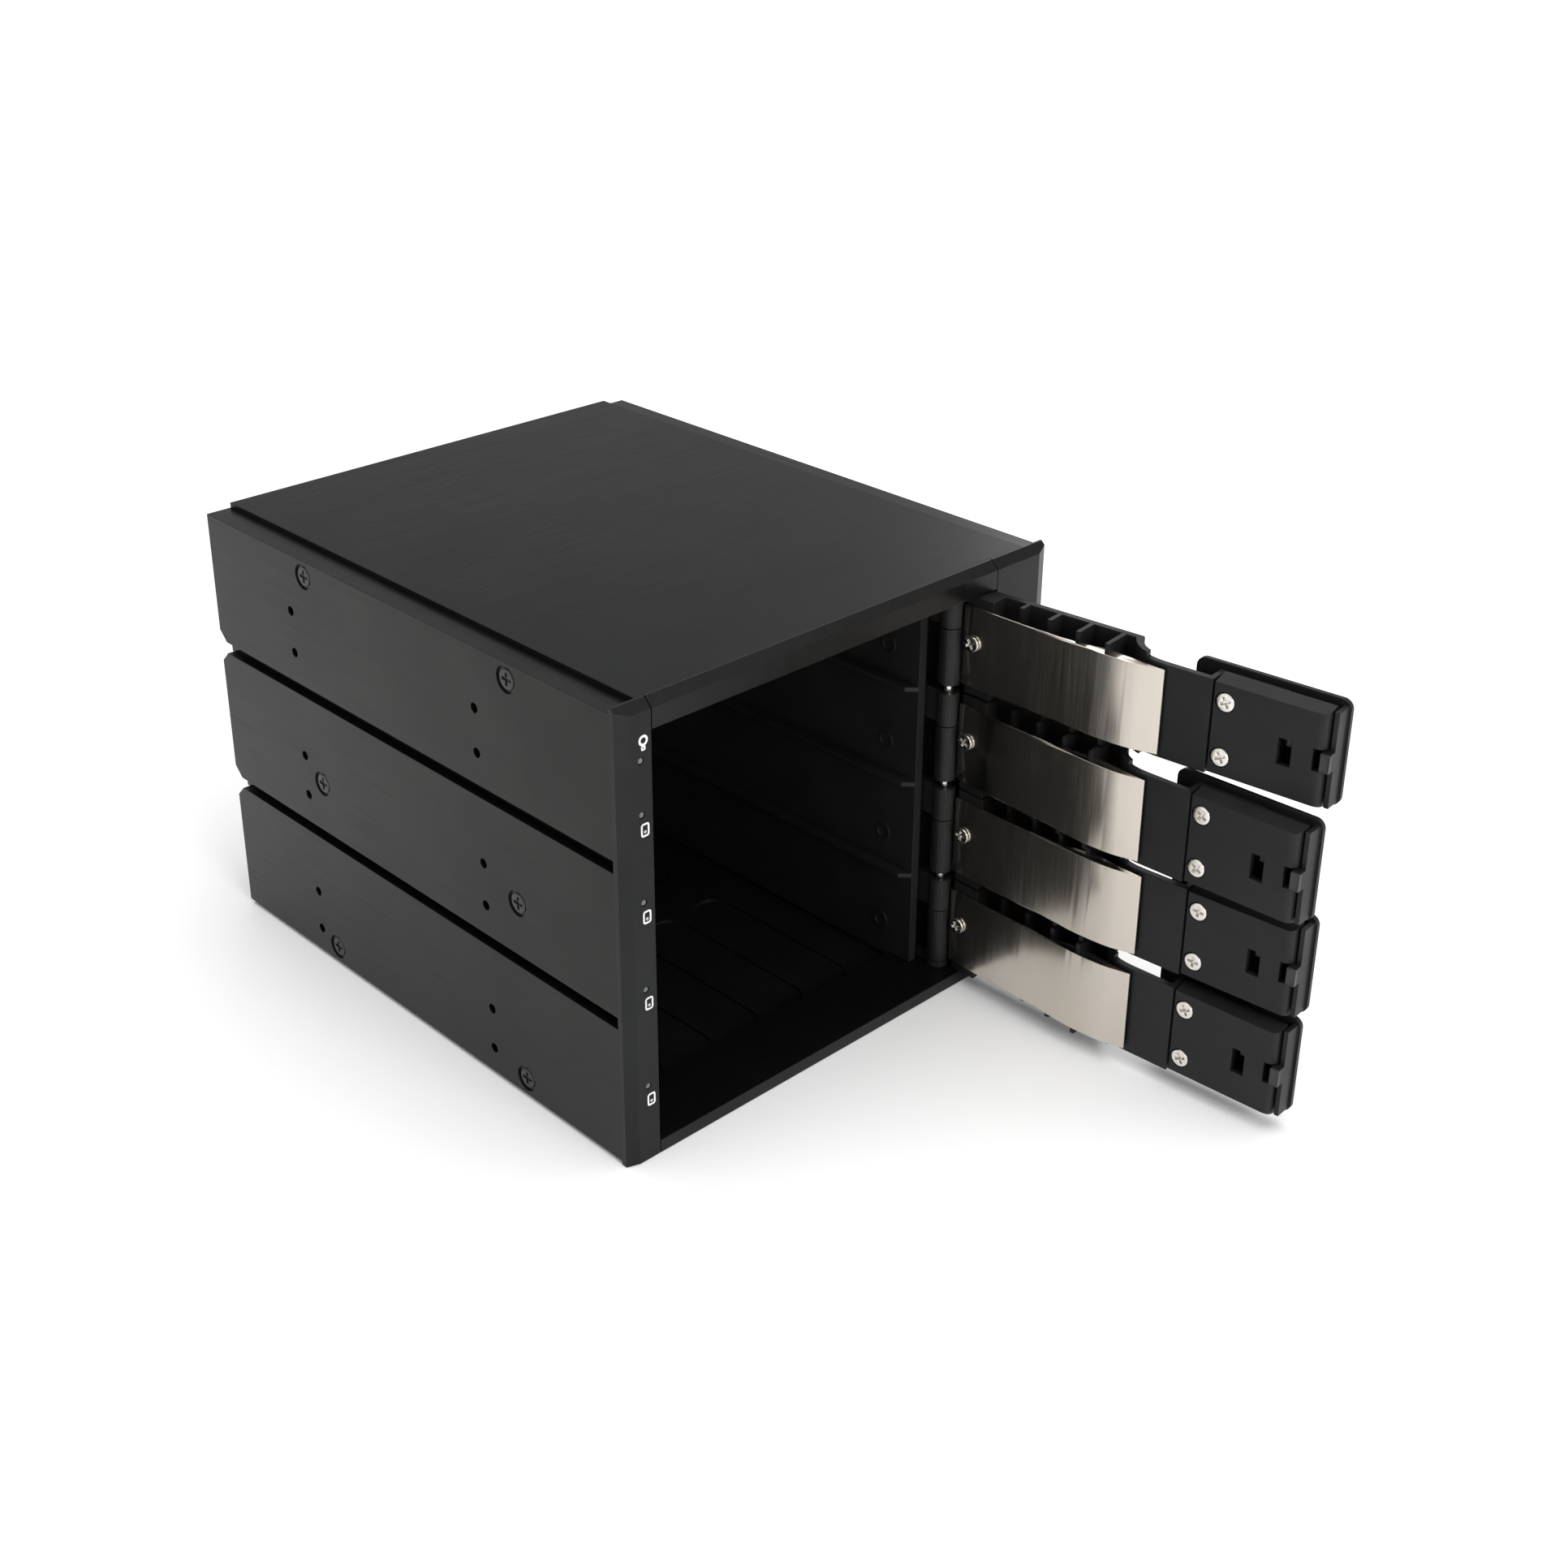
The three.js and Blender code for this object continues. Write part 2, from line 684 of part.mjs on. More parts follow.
// The light guide stands behind the left post, with one finger in each window.
function lightGuide() {
  const x = lightWindowX();
  const rows = lightRows();
  const low = Math.min(...rows) - lightGuideMargin;
  const high = Math.max(...rows) + lightGuideMargin;
  const back = frontY + fit;
  const pieces = [block(x - 1.5, x + 1.5 - fit, back, back + 2, low, high)];
  const fingerLength = bezelDepth + fit;
  const fingerY = faceY + 0.2 + fingerLength / 2;
  for (const z of rows) {
    pieces.push(rod("y", lightWindowDiameter / 2 - 0.2, fingerLength, [x, fingerY, z], 16));
  }
  return joined(pieces);
}

function lightBoard() {
  const x = lightWindowX();
  const rows = lightRows();
  const back = frontY + 2 + 2 * fit;
  return block(-halfWidth + panelSkin + railSlotDepth + fit, x + 1.5 - fit, back, back + boardThickness,
    Math.min(...rows) - lightBoardMargin, Math.max(...rows) + lightBoardMargin);
}

// Door pieces are drawn shut, about the hinge axis: reach runs along the door, out runs to its front.
function doorOutline(points) {
  return outline(points.map(([reach, out]) => [-reach, -out]));
}

function doorSkinShape() {
  const inner = hingeSetback - doorSkin;
  const shape = new THREE.Shape();
  shape.moveTo(4, -inner);
  shape.quadraticCurveTo(4, -hingeSetback, 1.5, -hingeSetback);
  shape.lineTo(-skinEnd, -hingeSetback);
  shape.lineTo(-skinEnd - 0.6, -hingeSetback + 0.6);
  shape.bezierCurveTo(-skinEnd - 1.8, -3.4, -skinEnd - 3.8, -neckOuter, -skinEnd - 10.3, -neckOuter);
  shape.lineTo(-pocketStart, -neckOuter);
  shape.lineTo(-pocketStart, -tabOuter);
  shape.lineTo(-pocketStart - tabLength, -tabOuter);
  shape.lineTo(-pocketStart - tabLength, -tabInner);
  shape.lineTo(-pocketStart - 1.4, -tabInner);
  shape.lineTo(-pocketStart - 1.4, -neckInner);
  shape.lineTo(-skinEnd - 10.3, -neckInner);
  shape.bezierCurveTo(-skinEnd - 3.3, -neckInner, -skinEnd - 0.6, -2.4, -skinEnd + 1.3, -inner);
  return shape;
}

function plateOut(reach) {
  return plateRise - (reach - plateStart + 0.2) * plateSlope;
}

function doorBody() {
  const half = doorHeight / 2;
  const inner = hingeSetback - doorSkin;
  const whole = raised(doorSkinShape(), -half, half);
  const neckTrim = [1, -1].map((side) => {
    const low = side > 0 ? neckHeight / 2 : -half - 1;
    const high = side > 0 ? half + 1 : -neckHeight / 2;
    return block(-latchEnd, -skinEnd - 5.3, -hingeSetback, -neckInner + 1, low, high);
  });
  const pieces = [without(whole, neckTrim)];
  for (let rib = 0; rib < ribCount; rib += 1) {
    const reach = ribStart + rib * ribPitch;
    const end = plateOut(reach) + 1 + (ribCount - 1 - rib) * 0.7;
    pieces.push(block(-reach - ribThickness / 2, -reach + ribThickness / 2, -inner - 0.2, -end, -half, half));
  }
  const root = doorOutline([
    [4.3, plateOut(4.3) + plateThickness / 2 + 0.1],
    [12.5, plateOut(12.5) + plateThickness / 2 + 0.1],
    [12.5, inner + 0.2],
    [4.3, inner + 0.2],
  ]);
  pieces.push(raised(root, -half, half));
  const barrelTop = half - knuckleHeight - fit;
  const barrelFoot = -half + footKnuckleHeight + fit;
  const barrelMiddle = (barrelTop + barrelFoot) / 2;
  pieces.push(rod("z", barrelRadius, barrelTop - barrelFoot, [0, 0, barrelMiddle]));
  pieces.push(block(-4.4, 0, -inner - 0.2, -1.8, barrelFoot, barrelTop));
  const pinBore = rod("z", pinRadius + fit / 2, 4 * half, [0, 0, 0], 16);
  return without(joined(pieces), [pinBore]);
}

// The stainless plate: straight from the hinge, then a crown that presses on the drive, then a hemmed lip.
function springPlate() {
  const half = plateThickness / 2;
  const centre = new THREE.Path();
  const bend = skinEnd - 7.7;
  const crown = skinEnd + 5.3;
  const lip = skinEnd + 11.1;
  centre.moveTo(plateStart, plateOut(plateStart));
  centre.lineTo(bend, plateOut(bend));
  centre.quadraticCurveTo(skinEnd + 0.3, plateOut(skinEnd) + 0.1, crown, plateOut(skinEnd) + 0.8);
  centre.lineTo(lip, plateOut(skinEnd) + 1.9);
  const line = centre.getPoints(6);
  const offset = (side) =>
    line.map((point, index) => {
      const before = line[Math.max(index - 1, 0)];
      const after = line[Math.min(index + 1, line.length - 1)];
      const along = after.clone().sub(before).normalize();
      return [point.x - side * half * along.y, point.y + side * half * along.x];
    });
  const shape = doorOutline([...offset(-1), ...offset(1).reverse()]);
  const plate = raised(shape, -plateHeight / 2, plateHeight / 2);
  return without(plate, [rod("y", 1.4, 6, [-plateScrewReach, 0, plateScrewRise], 16)]);
}

function crossedHead(radius, depth, shank, shankRadius, place) {
  const [x, y, z] = place;
  const head = rod("y", radius, depth, [x, y - depth / 2, z], 20);
  const stem = rod("y", shankRadius, shank, [x, y - depth - shank / 2, z], 12);
  const slots = [
    block(x - radius * 0.6, x + radius * 0.6, y - depth * 0.6, y + 1, z - 0.3, z + 0.3),
    block(x - 0.3, x + 0.3, y - depth * 0.6, y + 1, z - radius * 0.6, z + radius * 0.6),
  ];
  return without(joined([head, stem]), slots);
}

function springPlateScrew() {
  const seat = -plateOut(plateScrewReach) + plateThickness / 2 + 1;
  return crossedHead(2.3, 0.7, 0.4, 1.1, [-plateScrewReach, seat, plateScrewRise]);
}

function latchShell() {
  const half = neckHeight / 2;
  const plan = new THREE.Shape();
  plan.moveTo(-latchStart, -latchInner);
  plan.lineTo(-latchStart, -latchOuter);
  plan.lineTo(-latchEnd, -latchOuter);
  plan.lineTo(-latchEnd, -latchInner - 2.2);
  plan.quadraticCurveTo(-latchEnd, -latchInner, -latchEnd + 2.2, -latchInner);
  const section = outline([
    [-latchInner, half - 0.5],
    [-latchOuter + 0.7, half + 0.5],
    [-latchOuter, half + 0.5],
    [-latchOuter, -half - 0.5],
    [-latchOuter + 0.7, -half - 0.5],
    [-latchInner, -half + 0.5],
  ]);
  const body = raised(plan, -half - 1, half + 1).intersect(spanned(section, -latchEnd - 1, -latchStart + 1));
  const [cavityFrom, cavityTo] = latchCavity.map((inset) => inset - latchEnd);
  const [windowFrom, windowTo] = latchWindow.map((inset) => inset - latchEnd);
  const cavity = block(cavityFrom, cavityTo, -latchOuter - 1, -latchInner - 1.5, -half + 2, half - 2);
  const window = block(windowFrom, windowTo, -latchOuter, -latchInner + 1, -4, 2.8);
  const notch = block(-latchEnd - 1, -latchEnd + latchNotch, -latchOuter - 1, -latchInner + 1,
    -hookHalfHeight - fit - 0.1, hookHalfHeight + fit + 0.1);
  const screwSeats = [];
  for (const side of [-1, 1]) {
    const z = (side * latchScrewSpread) / 2;
    screwSeats.push(rod("y", 2.6, 1.6, [-latchScrewReach, -latchInner, z]));
    screwSeats.push(rod("y", 1.4, 12, [-latchScrewReach, 0, z], 12));
  }
  return without(body, [cavity, window, notch, ...screwSeats]);
}

function latchScrew(side) {
  const seat = -latchInner + 0.15;
  return crossedHead(2.35, 0.9, 3.2, 1.1, [-latchScrewReach, seat, (side * latchScrewSpread) / 2]);
}

// The release lever: the outer plate with a tip wall, a hook and the pivot barrel, drawn in the door's frame.
function latchLever() {
  const half = doorHeight / 2;
  const radius = 2.5;
  const face = new THREE.Shape();
  face.moveTo(-leverStart - radius, -half);
  face.absarc(-leverStart - radius, -half + radius, radius, 1.5 * Math.PI, 2 * Math.PI, false);
  face.absarc(-leverStart - radius, half - radius, radius, 0, 0.5 * Math.PI, false);
  face.absarc(-leverEnd + radius, half - radius, radius, 0.5 * Math.PI, Math.PI, false);
  face.absarc(-leverEnd + radius, -half + radius, radius, Math.PI, 1.5 * Math.PI, false);
  const plate = carried(face, -hingeSetback, -hingeSetback + leverPlate);
  const tip = -leverEnd + tipWallInset;
  const plateBack = -hingeSetback + leverPlate / 2;
  const tipWall = block(tip, tip + tipWallThickness, plateBack, neckInner, -neckHeight / 2, neckHeight / 2);
  const hook = block(tip, tip + hookLength, -1.6, 1, -hookHalfHeight, hookHalfHeight);
  const [pivotReach, pivotOut] = leverPivot;
  const barrel = rod("z", 1.7, 7, [-pivotReach, -pivotOut, -0.6], 20);
  const web = block(-pivotReach - 0.8, -pivotReach + 0.8, -hingeSetback + 0.6, -pivotOut, -4.1, 2.9);
  return joined([plate, tipWall, hook, barrel, web]);
}

const cage = new THREE.Group();
addPart(cage, "side_panel_right", sidePanel(), metal);
addPart(cage, "side_panel_left", sidePanel(), metal).scale.x = -1;
addPart(cage, "top_plate", topPlate(), metal);
addPart(cage, "bottom_plate", bottomPlate(), metal);
addPart(cage, "bezel_post_left", bezelPostLeft(), bezelMetal);
addPart(cage, "bezel_post_right", bezelPostRight(), bezelMetal);
addPart(cage, "bezel_bar_top", bezelBarTop(), bezelMetal);
addPart(cage, "bezel_bar_bottom", bezelBarBottom(), bezelMetal);
addPart(cage, "guide_wall_left", guideWall(openingLeft - fit, 1, wallFrontY), plastic);
addPart(cage, "guide_wall_right", guideWall(rightWallX, -1, wallFrontY + 2), plastic);
addPart(cage, "hinge_column", hingeColumn(), plastic);
addPart(cage, "hinge_pin", hingePin(), silver);
addPart(cage, "backplane_board", backplaneBoard(), board);
addPart(cage, "power_connector_upper", powerConnector(powerRows[0]), darkSocket);
addPart(cage, "power_connector_lower", powerConnector(powerRows[1]), darkSocket);
addPart(cage, "rear_plate", rearPlate(), metal);
addPart(cage, "fan_frame", fanFrame(), plastic);
addPart(cage, "fan_motor_mount", fanMotorMount(), plastic);
addPart(cage, "fan_rotor", fanRotor(), plastic);
addPart(cage, "fan_grille", fanGrille(), silver);
addPart(cage, "light_guide", lightGuide(), clearPlastic);
addPart(cage, "light_board", lightBoard(), board);

for (let bay = 0; bay < bayCount; bay += 1) {
  const number = bay + 1;
  addPart(cage, `drive_connector_${number}`, driveConnector(bay), darkSocket);
  addPart(cage, `data_connector_${number}`, dataConnector(bay), darkSocket);
  const door = new THREE.Group();
  door.position.set(hingeX, hingeY, bayMiddle(bay));
  door.rotation.z = THREE.MathUtils.degToRad(openAngles[bay]);
  addPart(door, `door_body_${number}`, doorBody(), doorPlastic);
  addPart(door, `spring_plate_${number}`, springPlate(), stainless);
  addPart(door, `spring_plate_screw_${number}`, springPlateScrew(), silver);
  addPart(door, `latch_block_${number}`, latchShell(), doorPlastic);
  addPart(door, `latch_screw_upper_${number}`, latchScrew(1), silver);
  addPart(door, `latch_screw_lower_${number}`, latchScrew(-1), silver);
  addPart(door, `latch_lever_${number}`, latchLever(), doorPlastic);
  cage.add(door);
}

export default cage;
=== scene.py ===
import math

import bmesh
import bpy
from mathutils import Matrix, Vector


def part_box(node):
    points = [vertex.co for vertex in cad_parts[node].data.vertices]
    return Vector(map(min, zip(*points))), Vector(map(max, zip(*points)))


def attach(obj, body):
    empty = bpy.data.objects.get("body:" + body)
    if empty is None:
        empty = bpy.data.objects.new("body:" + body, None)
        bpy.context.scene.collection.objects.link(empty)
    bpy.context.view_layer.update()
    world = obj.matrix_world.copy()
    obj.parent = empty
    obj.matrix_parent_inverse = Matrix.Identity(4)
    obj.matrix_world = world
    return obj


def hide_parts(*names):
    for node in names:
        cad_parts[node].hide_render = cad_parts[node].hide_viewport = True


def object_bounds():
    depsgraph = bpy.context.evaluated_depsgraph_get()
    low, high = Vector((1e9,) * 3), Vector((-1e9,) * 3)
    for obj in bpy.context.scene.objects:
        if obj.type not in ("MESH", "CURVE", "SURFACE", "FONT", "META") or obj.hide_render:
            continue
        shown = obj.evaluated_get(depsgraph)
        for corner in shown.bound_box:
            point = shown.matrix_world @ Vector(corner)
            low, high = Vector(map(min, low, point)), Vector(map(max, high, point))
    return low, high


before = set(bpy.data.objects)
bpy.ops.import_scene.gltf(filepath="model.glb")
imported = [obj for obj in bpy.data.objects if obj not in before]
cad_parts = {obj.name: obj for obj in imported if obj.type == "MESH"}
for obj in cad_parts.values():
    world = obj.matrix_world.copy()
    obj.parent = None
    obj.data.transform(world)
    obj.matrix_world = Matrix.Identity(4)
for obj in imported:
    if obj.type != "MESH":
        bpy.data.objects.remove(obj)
cad_low, cad_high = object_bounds()
MM = 0.001

# Sizes taken from the frame
BAYS = (1, 2, 3, 4)
OPEN_ANGLES = {1: 96.3, 2: 92.3, 3: 94.5, 4: 93.4}
PIN_LOW, PIN_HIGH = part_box("hinge_pin")
HINGE_X = (PIN_LOW.x + PIN_HIGH.x) / 2
HINGE_Y = (PIN_LOW.y + PIN_HIGH.y) / 2
POST_LOW, POST_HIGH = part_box("bezel_post_left")
PANEL_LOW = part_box("side_panel_left")[0]
WALL_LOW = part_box("guide_wall_right")[0]
COVER_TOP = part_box("top_plate")[1].z

# Side screws
SCREW_ROWS = (5.8 * MM, 57 * MM, COVER_TOP - 5.8 * MM)
SCREW_FRONT_Y = -47 * MM
SCREW_PITCH_Y = 84.7 * MM
SCREW_RECESS = 0.5 * MM
SIDE_SCREW_RADIUS = 2.7 * MM
SIDE_SCREW_DEPTH = 0.8 * MM

# Screws on the doors: radius, depth, and how far their heads stand from the hinge's plane
LATCH_SCREW = (2.35 * MM, 0.9 * MM, 1.05 * MM)
PLATE_SCREW = (2.2 * MM, 0.7 * MM, 0.95 * MM)

# Latch details, as corners in the shut door's frame
HOOK_CORNERS = (Vector((-106.4, 0.4, -2.3)) * MM, Vector((-104.0, 1.5, 2.3)) * MM)
FLAG_CORNERS = (Vector((-95.6, -2.6, 0.2)) * MM, Vector((-94.2, -1.2, 2.2)) * MM)
DETAIL_ROUND = 0.25 * MM

# Marks on the left post
LIGHT_SHARES = (0.884, 0.773, 0.587, 0.395, 0.173)
SIGN_X = POST_HIGH.x - 2.4 * MM
SIGN_DROP = 4.0 * MM
SIGN_PROUD = 0.06 * MM

# Spring plates, drawn along the shut door: reach from the hinge, out towards the front
PLATE_HEIGHT = 22.2 * MM
PLATE_THICKNESS = 0.6 * MM
PLATE_START = 3.8
PLATE_BEND = 44.0
PLATE_CROWN = 57.0
PLATE_LIP = 62.8
PLATE_SLOPE = 0.0956


def deselect_all():
    if bpy.context.object and bpy.context.object.mode != "OBJECT":
        bpy.ops.object.mode_set(mode="OBJECT")
    bpy.ops.object.select_all(action="DESELECT")


def name_new(name):
    piece = bpy.context.object
    piece.name = name
    piece.data.name = name
    return piece


def settle(piece):
    """Puts the piece's place into its mesh, so its object stays at the origin."""
    piece.data.transform(piece.matrix_world)
    piece.matrix_world = Matrix.Identity(4)


def use(piece, material):
    piece.data.materials.clear()
    piece.data.materials.append(material)


def apply_all(piece):
    deselect_all()
    piece.select_set(True)
    bpy.context.view_layer.objects.active = piece
    for modifier in list(piece.modifiers):
        bpy.ops.object.modifier_apply(modifier=modifier.name)


def face_outwards(piece):
    """Merges doubled points and turns every face the same way round."""
    bpy.ops.object.mode_set(mode="EDIT")
    bpy.ops.mesh.select_mode(type="VERT")
    bpy.ops.mesh.select_all(action="SELECT")
    bpy.ops.mesh.remove_doubles(threshold=0.000001)
    bpy.ops.mesh.normals_make_consistent(inside=False)
    bpy.ops.object.mode_set(mode="OBJECT")


def copy_of(piece, name, matrix):
    twin = piece.copy()
    twin.data = piece.data.copy()
    twin.name = name
    twin.data.name = name
    bpy.context.scene.collection.objects.link(twin)
    twin.data.transform(matrix)
    return twin


def door_matrix(bay):
    """From a shut door's own frame to where the door stands at rest."""
    low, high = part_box(f"door_body_{bay}")
    middle = Vector((HINGE_X, HINGE_Y, (low.z + high.z) / 2))
    return Matrix.Translation(middle) @ Matrix.Rotation(math.radians(OPEN_ANGLES[bay]), 4, "Z")


# ---------------------------------------------------------------- finishes
class Finish:
    """A material's node tree, with short names for what this object's finishes need."""

    def __init__(self, name, colour, roughness, metallic=0.0):
        self.material = bpy.data.materials.new(name)
        self.material.use_nodes = True
        self.nodes = self.material.node_tree.nodes
        self.links = self.material.node_tree.links
        self.shader = self.nodes["Principled BSDF"]
        self.shader.inputs["Base Color"].default_value = (*colour, 1)
        self.shader.inputs["Roughness"].default_value = roughness
        self.shader.inputs["Metallic"].default_value = metallic
        self.coords = self.nodes.new("ShaderNodeTexCoord")
        edge = self.nodes.new("ShaderNodeBevel")
        edge.samples = 4
        edge.inputs["Radius"].default_value = 0.25 * MM
        self.height = edge.outputs["Normal"]

    def noise(self, scale, detail=3.0, stretch=(1, 1, 1)):
        mapping = self.nodes.new("ShaderNodeMapping")
        mapping.inputs["Scale"].default_value = stretch
        self.links.new(self.coords.outputs["Object"], mapping.inputs["Vector"])
        noise = self.nodes.new("ShaderNodeTexNoise")
        noise.inputs["Scale"].default_value = scale
        noise.inputs["Detail"].default_value = detail
        self.links.new(mapping.outputs["Vector"], noise.inputs["Vector"])
        return noise.outputs["Fac"]

    def ramp(self, value, low, high):
        span = self.nodes.new("ShaderNodeMapRange")
        span.inputs["From Min"].default_value = 0.3
        span.inputs["From Max"].default_value = 0.7
        span.inputs["To Min"].default_value = low
        span.inputs["To Max"].default_value = high
        self.links.new(value, span.inputs["Value"])
        return span.outputs["Result"]

    def vary_roughness(self, value, low, high):
        self.links.new(self.ramp(value, low, high), self.shader.inputs["Roughness"])

    def vary_colour(self, value, dark, light):
        mix = self.nodes.new("ShaderNodeMix")
        mix.data_type = "RGBA"
        mix.inputs["A"].default_value = (*dark, 1)
        mix.inputs["B"].default_value = (*light, 1)
        self.links.new(self.ramp(value, 0, 1), mix.inputs["Factor"])
        self.links.new(mix.outputs["Result"], self.shader.inputs["Base Color"])

    def bump(self, value, strength, distance=0.0001):
        bump = self.nodes.new("ShaderNodeBump")
        bump.inputs["Strength"].default_value = strength
        bump.inputs["Distance"].default_value = distance
        self.links.new(value, bump.inputs["Height"])
        self.links.new(self.height, bump.inputs["Normal"])
        self.height = bump.outputs["Normal"]
        self.links.new(self.height, self.shader.inputs["Normal"])


def brushed_anodised(name, colour, grain, metallic=0.85, gloss=0.5):
    finish = Finish(name, colour, 0.36, metallic)
    finish.shader.inputs["Specular IOR Level"].default_value = gloss
    grain_value = finish.noise(1600, 2, grain)
    finish.vary_roughness(grain_value, 0.28, 0.38)
    finish.vary_colour(finish.noise(40, 3), tuple(c * 0.85 for c in colour), tuple(c * 1.15 for c in colour))
    finish.bump(grain_value, 0.2, 0.000008)
    return finish.material


def moulded(name, colour, low, high):
    finish = Finish(name, colour, low)
    grain_value = finish.noise(2600, 2)
    finish.vary_roughness(finish.noise(60, 4), low, high)
    finish.vary_colour(finish.noise(90, 3), tuple(c * 0.85 for c in colour), tuple(c * 1.15 for c in colour))
    finish.shader.inputs["Specular IOR Level"].default_value = 0.25
    finish.bump(grain_value, 0.25, 0.00002)
    return finish.material


def brushed_steel():
    finish = Finish("brushed_spring_steel", (0.62, 0.57, 0.50), 0.25, 1.0)
    grain_value = finish.noise(2200, 2, (1, 1, 0.02))
    finish.shader.inputs["Anisotropic"].default_value = 0.5
    finish.vary_roughness(grain_value, 0.2, 0.26)
    finish.vary_colour(finish.noise(60, 3, (1, 1, 0.3)), (0.58, 0.53, 0.46), (0.64, 0.59, 0.53))
    finish.bump(grain_value, 0.04, 0.000004)
    return finish.material


def plated_steel():
    finish = Finish("plated_screw_steel", (0.76, 0.73, 0.68), 0.2, 1.0)
    finish.vary_roughness(finish.noise(800, 3), 0.16, 0.34)
    finish.bump(finish.noise(1800, 2), 0.15, 0.00003)
    return finish.material


def dark_screw_finish():
    finish = Finish("black_screw_steel", (0.05, 0.05, 0.05), 0.3, 0.9)
    finish.vary_roughness(finish.noise(900, 3), 0.22, 0.4)
    finish.bump(finish.noise(1800, 2), 0.2, 0.00003)
    return finish.material


def solder_mask():
    finish = Finish("green_solder_mask", (0.015, 0.06, 0.03), 0.35)
    finish.vary_roughness(finish.noise(300, 3), 0.3, 0.5)
    finish.bump(finish.noise(1200, 2), 0.2, 0.00004)
    return finish.material


SHELL_SIDE = brushed_anodised("anodised_side", (0.017, 0.017, 0.016), (1, 0.02, 1))
SHELL_TOP = brushed_anodised("anodised_cover", (0.0085, 0.0095, 0.009), (0.02, 1, 1), 0.35, 0.12)
FRONT = brushed_anodised("anodised_front", (0.019, 0.0195, 0.0195), (1, 1, 0.05))
INNER = moulded("inner_moulded_plastic", (0.010, 0.010, 0.010), 0.45, 0.6)
DOOR = moulded("door_moulded_plastic", (0.009, 0.009, 0.010), 0.4, 0.52)
SOCKET = moulded("socket_plastic", (0.008, 0.008, 0.009), 0.4, 0.55)
GUIDE = moulded("smoked_light_plastic", (0.12, 0.13, 0.14), 0.15, 0.25)
HOOK = moulded("latch_hook_plastic", (0.035, 0.035, 0.037), 0.35, 0.5)
SIGN = moulded("white_sign_ink", (0.78, 0.78, 0.76), 0.5, 0.65)
STEEL = brushed_steel()
PLATED = plated_steel()
DARK_SCREW = dark_screw_finish()
BOARD = solder_mask()

NODE_FINISHES = {
    "side_panel": SHELL_SIDE,
    "rear_plate": SHELL_SIDE,
    "top_plate": SHELL_TOP,
    "bottom_plate": SHELL_TOP,
    "bezel": FRONT,
    "guide_wall": INNER,
    "hinge_column": INNER,
    "hinge_pin": PLATED,
    "fan_frame": INNER,
    "fan_motor_mount": INNER,
    "fan_rotor": INNER,
    "fan_grille": PLATED,
    "backplane": BOARD,
    "light_board": BOARD,
    "light_guide": GUIDE,
    "power_connector": SOCKET,
    "drive_connector": SOCKET,
    "data_connector": SOCKET,
    "door_body": DOOR,
    "latch_block": DOOR,
    "latch_lever": DOOR,
}


def finish_frame_nodes():
    for name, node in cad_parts.items():
        for start, material in NODE_FINISHES.items():
            if name.startswith(start):
                use(node, material)


# ---------------------------------------------------------------- spring plates
def plate_line():
    """Reach and out, in millimetres: straight, over a crown, then up to the lip."""
    slope = lambda reach: 0.6 - (reach - PLATE_START + 0.2) * PLATE_SLOPE
    crown = slope(51.7)
    points = [(PLATE_START, slope(PLATE_START)), (20.0, slope(20.0)), (34.0, slope(34.0))]
    steps = 16
    for step in range(steps + 1):
        t = step / steps
        a, b, c = (1 - t) ** 2, 2 * t * (1 - t), t * t
        reach = a * PLATE_BEND + b * 52.0 + c * PLATE_CROWN
        out = a * slope(PLATE_BEND) + b * (crown + 0.1) + c * (crown + 0.8)
        points.append((reach, out))
    points.append((PLATE_LIP, crown + 1.9))
    return points


def spring_plate():
    """A strip pulled out edge by edge along its line, then given its thickness and soft edges."""
    line = plate_line()
    half = PLATE_HEIGHT / 2
    deselect_all()
    bpy.ops.mesh.primitive_plane_add(size=1)
    piece = name_new("spring_plate_drawn")
    first, second = line[0], line[1]
    corners = [(first, -half), (second, -half), (first, half), (second, half)]
    for vertex, (point, z) in zip(piece.data.vertices, corners):
        vertex.co = (-point[0] * MM, -point[1] * MM, z)
    for before, after in zip(line[1:], line[2:]):
        bpy.ops.object.mode_set(mode="EDIT")
        bpy.ops.mesh.select_mode(type="EDGE")
        mesh = bmesh.from_edit_mesh(piece.data)
        end = min(vertex.co.x for vertex in mesh.verts)
        for edge in mesh.edges:
            edge.select = all(abs(vertex.co.x - end) < 1e-7 for vertex in edge.verts)
        bmesh.update_edit_mesh(piece.data)
        move = (-(after[0] - before[0]) * MM, -(after[1] - before[1]) * MM, 0)
        bpy.ops.mesh.extrude_region_move(TRANSFORM_OT_translate={"value": move})
        bpy.ops.object.mode_set(mode="OBJECT")
    face_outwards(piece)
    solidify = piece.modifiers.new("thickness", "SOLIDIFY")
    solidify.thickness = PLATE_THICKNESS
    solidify.offset = 0
    bevel = piece.modifiers.new("edge", "BEVEL")
    bevel.width = 0.12 * MM
    bevel.segments = 2
    bevel.angle_limit = math.radians(50)
    apply_all(piece)
    face_outwards(piece)
    bpy.ops.object.shade_smooth_by_angle(angle=math.radians(20))
    use(piece, STEEL)
    return piece


